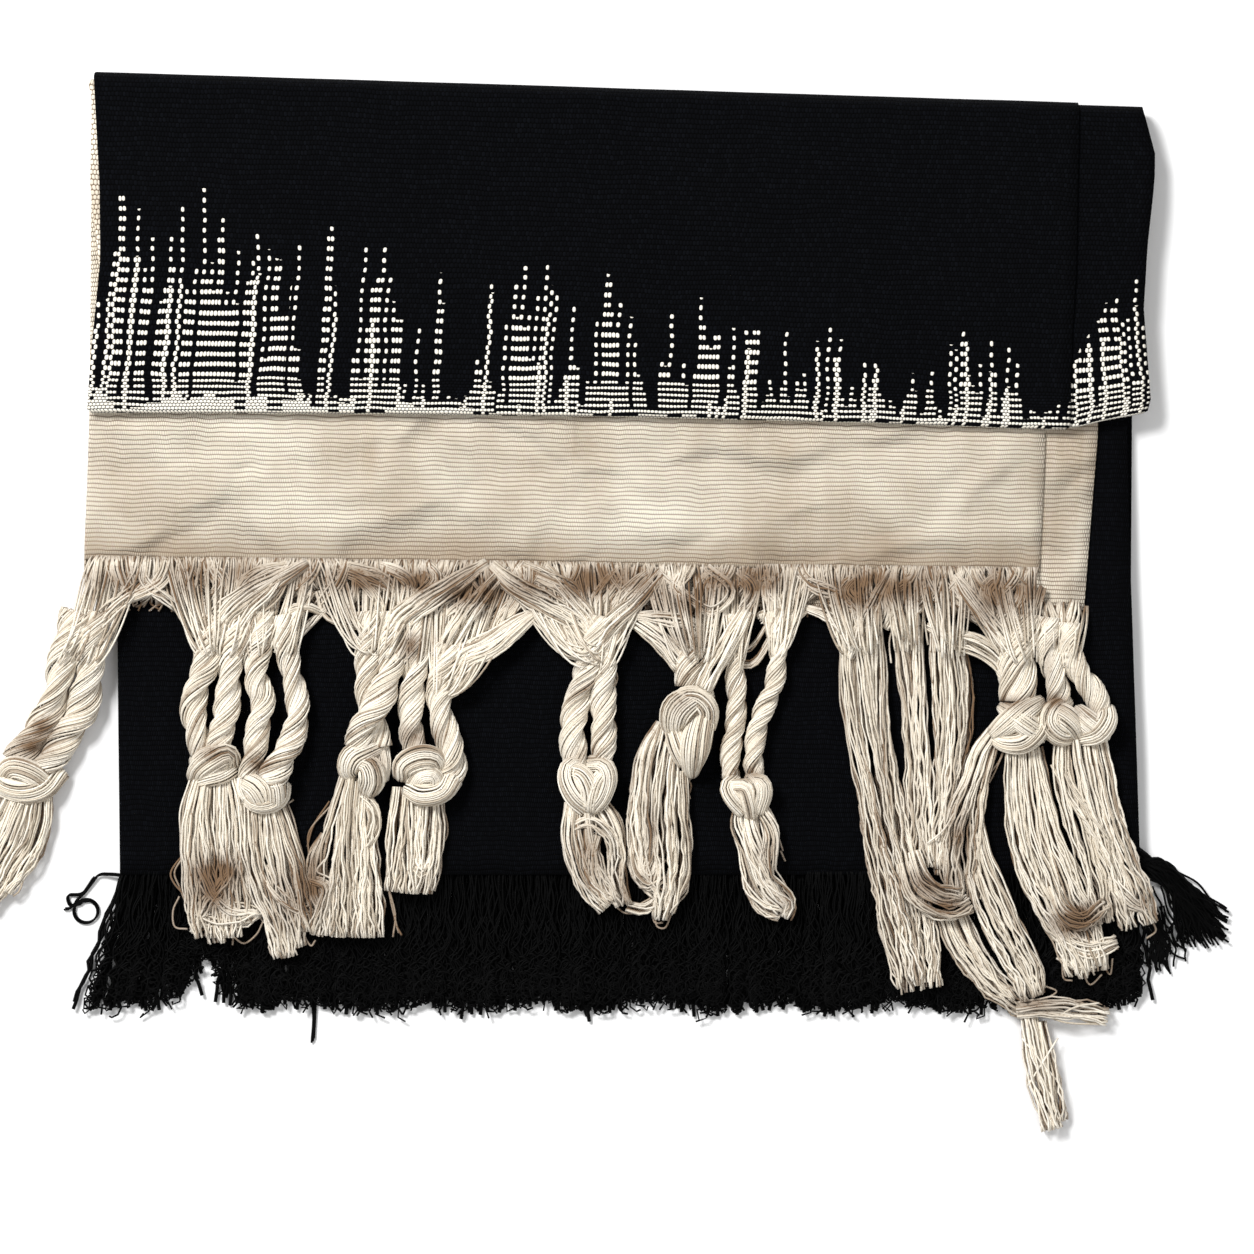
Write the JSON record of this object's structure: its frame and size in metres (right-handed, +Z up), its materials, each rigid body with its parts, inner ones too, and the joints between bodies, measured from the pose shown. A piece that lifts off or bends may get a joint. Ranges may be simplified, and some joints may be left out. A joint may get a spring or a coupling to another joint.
{
  "type": "table runner",
  "caption": "Folded cotton ikat table runner, black fading to cream, with a curled black fringe and twisted, knotted cream tassels.",
  "frame": {"origin": "a point on the underside of the lowest ply, below the middle of the folded pack; the pack lies on z = 0", "axes": "+X along the cloth's width, towards the side with the free selvedges; +Y from the fringed ends to the top fold; +Z up"},
  "size_m": [0.3169, 0.266, 0.0145],
  "materials": {
    "black_cotton": "matt warp-faced plain weave with fine cross ribs",
    "ikat_cotton": "matt warp-faced plain weave, single cream threads on black thinning out along the cloth",
    "cream_cotton": "matt undyed warp-faced plain weave with fine cross ribs",
    "black_fringe_yarn": "matt overtwisted cotton yarn in small curls and loops",
    "cream_fringe_yarn": "matt undyed plied cotton yarn"
  },
  "bodies": {
    "pack": {"black_run_wide_ply": "black_cotton", "black_run_narrow_ply": "black_cotton", "outer_fold_narrow_ply": "black_cotton", "outer_fold_wide_ply": "black_cotton", "inner_fold_narrow_ply": "cream_cotton", "inner_fold_wide_ply": "cream_cotton", "cream_end_narrow_ply": "cream_cotton", "cream_end_wide_ply": "cream_cotton", "black_fringe": "black_fringe_yarn", "black_fringe_corner": "black_fringe_yarn", "cream_heading_narrow_ply": "cream_fringe_yarn", "cream_heading_wide_ply": "cream_fringe_yarn"},
    "flap": {"flap_narrow_ply": "ikat_cotton", "flap_wide_ply": "ikat_cotton"},
    "tassel_01": {"tassel_01_rope_left": "cream_fringe_yarn", "tassel_01_rope_right": "cream_fringe_yarn", "tassel_01_knot": "cream_fringe_yarn", "tassel_01_tail": "cream_fringe_yarn"},
    "tassel_02": {"tassel_02_rope_left": "cream_fringe_yarn", "tassel_02_rope_right": "cream_fringe_yarn", "tassel_02_knot": "cream_fringe_yarn", "tassel_02_tail": "cream_fringe_yarn"},
    "tassel_03": {"tassel_03_rope_left": "cream_fringe_yarn", "tassel_03_rope_right": "cream_fringe_yarn", "tassel_03_knot": "cream_fringe_yarn", "tassel_03_tail": "cream_fringe_yarn"},
    "tassel_04": {"tassel_04_rope_left": "cream_fringe_yarn", "tassel_04_rope_right": "cream_fringe_yarn", "tassel_04_knot": "cream_fringe_yarn", "tassel_04_tail": "cream_fringe_yarn"},
    "tassel_05": {"tassel_05_rope_left": "cream_fringe_yarn", "tassel_05_rope_right": "cream_fringe_yarn", "tassel_05_knot": "cream_fringe_yarn", "tassel_05_tail": "cream_fringe_yarn"},
    "tassel_06": {"tassel_06_rope_left": "cream_fringe_yarn", "tassel_06_rope_right": "cream_fringe_yarn", "tassel_06_knot": "cream_fringe_yarn", "tassel_06_tail": "cream_fringe_yarn"},
    "tassel_07": {"tassel_07_rope": "cream_fringe_yarn", "tassel_07_knot": "cream_fringe_yarn", "tassel_07_tail_bend": "cream_fringe_yarn", "tassel_07_tail": "cream_fringe_yarn"},
    "tassel_08": {"tassel_08_rope_left": "cream_fringe_yarn", "tassel_08_rope_right": "cream_fringe_yarn", "tassel_08_knot": "cream_fringe_yarn", "tassel_08_tail": "cream_fringe_yarn"},
    "tassel_09": {"tassel_09_hank_left": "cream_fringe_yarn", "tassel_09_hank_middle": "cream_fringe_yarn", "tassel_09_hank_right": "cream_fringe_yarn", "tassel_09_lock": "cream_fringe_yarn", "tassel_09_side_lock": "cream_fringe_yarn", "tassel_09_tail": "cream_fringe_yarn", "tassel_09_tip": "cream_fringe_yarn"},
    "tassel_10": {"tassel_10_rope": "cream_fringe_yarn", "tassel_10_knot": "cream_fringe_yarn", "tassel_10_tail": "cream_fringe_yarn"},
    "tassel_11": {"tassel_11_rope_left": "cream_fringe_yarn", "tassel_11_rope_right": "cream_fringe_yarn", "tassel_11_knot": "cream_fringe_yarn", "tassel_11_tail": "cream_fringe_yarn"}
  },
  "joints": [
    {"name": "flap_fold", "type": "hinge", "parent": "pack", "child": "flap", "pos_m": [0, 0.1315, 0.00435], "axis": [-0.9995, 0.031, 0], "range_deg": [0, 180], "deforming": ["outer_fold_narrow_ply", "outer_fold_wide_ply", "inner_fold_narrow_ply", "inner_fold_wide_ply"]},
    {"name": "tassel_01_lift", "type": "hinge", "parent": "pack", "child": "tassel_01", "pos_m": [-0.1369, 0, 0.0071], "axis": [-1, 0, 0], "range_deg": [0, 120]},
    {"name": "tassel_02_lift", "type": "hinge", "parent": "pack", "child": "tassel_02", "pos_m": [-0.1022, 0, 0.0071], "axis": [-1, 0, 0], "range_deg": [0, 120]},
    {"name": "tassel_03_lift", "type": "hinge", "parent": "pack", "child": "tassel_03", "pos_m": [-0.0888, 0, 0.0071], "axis": [-1, 0, 0], "range_deg": [0, 120]},
    {"name": "tassel_04_lift", "type": "hinge", "parent": "pack", "child": "tassel_04", "pos_m": [-0.063, 0, 0.0071], "axis": [-1, 0, 0], "range_deg": [0, 120]},
    {"name": "tassel_05_lift", "type": "hinge", "parent": "pack", "child": "tassel_05", "pos_m": [-0.0495, 0, 0.0071], "axis": [-1, 0, 0], "range_deg": [0, 120]},
    {"name": "tassel_06_lift", "type": "hinge", "parent": "pack", "child": "tassel_06", "pos_m": [-0.0071, 0, 0.0071], "axis": [-1, 0, 0], "range_deg": [0, 120]},
    {"name": "tassel_07_lift", "type": "hinge", "parent": "pack", "child": "tassel_07", "pos_m": [0.017, 0, 0.0071], "axis": [-1, 0, 0], "range_deg": [0, 120]},
    {"name": "tassel_08_lift", "type": "hinge", "parent": "pack", "child": "tassel_08", "pos_m": [0.0314, 0, 0.0071], "axis": [-1, 0, 0], "range_deg": [0, 120]},
    {"name": "tassel_09_lift", "type": "hinge", "parent": "pack", "child": "tassel_09", "pos_m": [0.07, 0, 0.0071], "axis": [-1, 0, 0], "range_deg": [0, 120]},
    {"name": "tassel_10_lift", "type": "hinge", "parent": "pack", "child": "tassel_10", "pos_m": [0.0973, 0, 0.0071], "axis": [-1, 0, 0], "range_deg": [0, 120]},
    {"name": "tassel_11_lift", "type": "hinge", "parent": "pack", "child": "tassel_11", "pos_m": [0.1091, 0, 0.0071], "axis": [-1, 0, 0], "range_deg": [0, 120]}
  ]
}
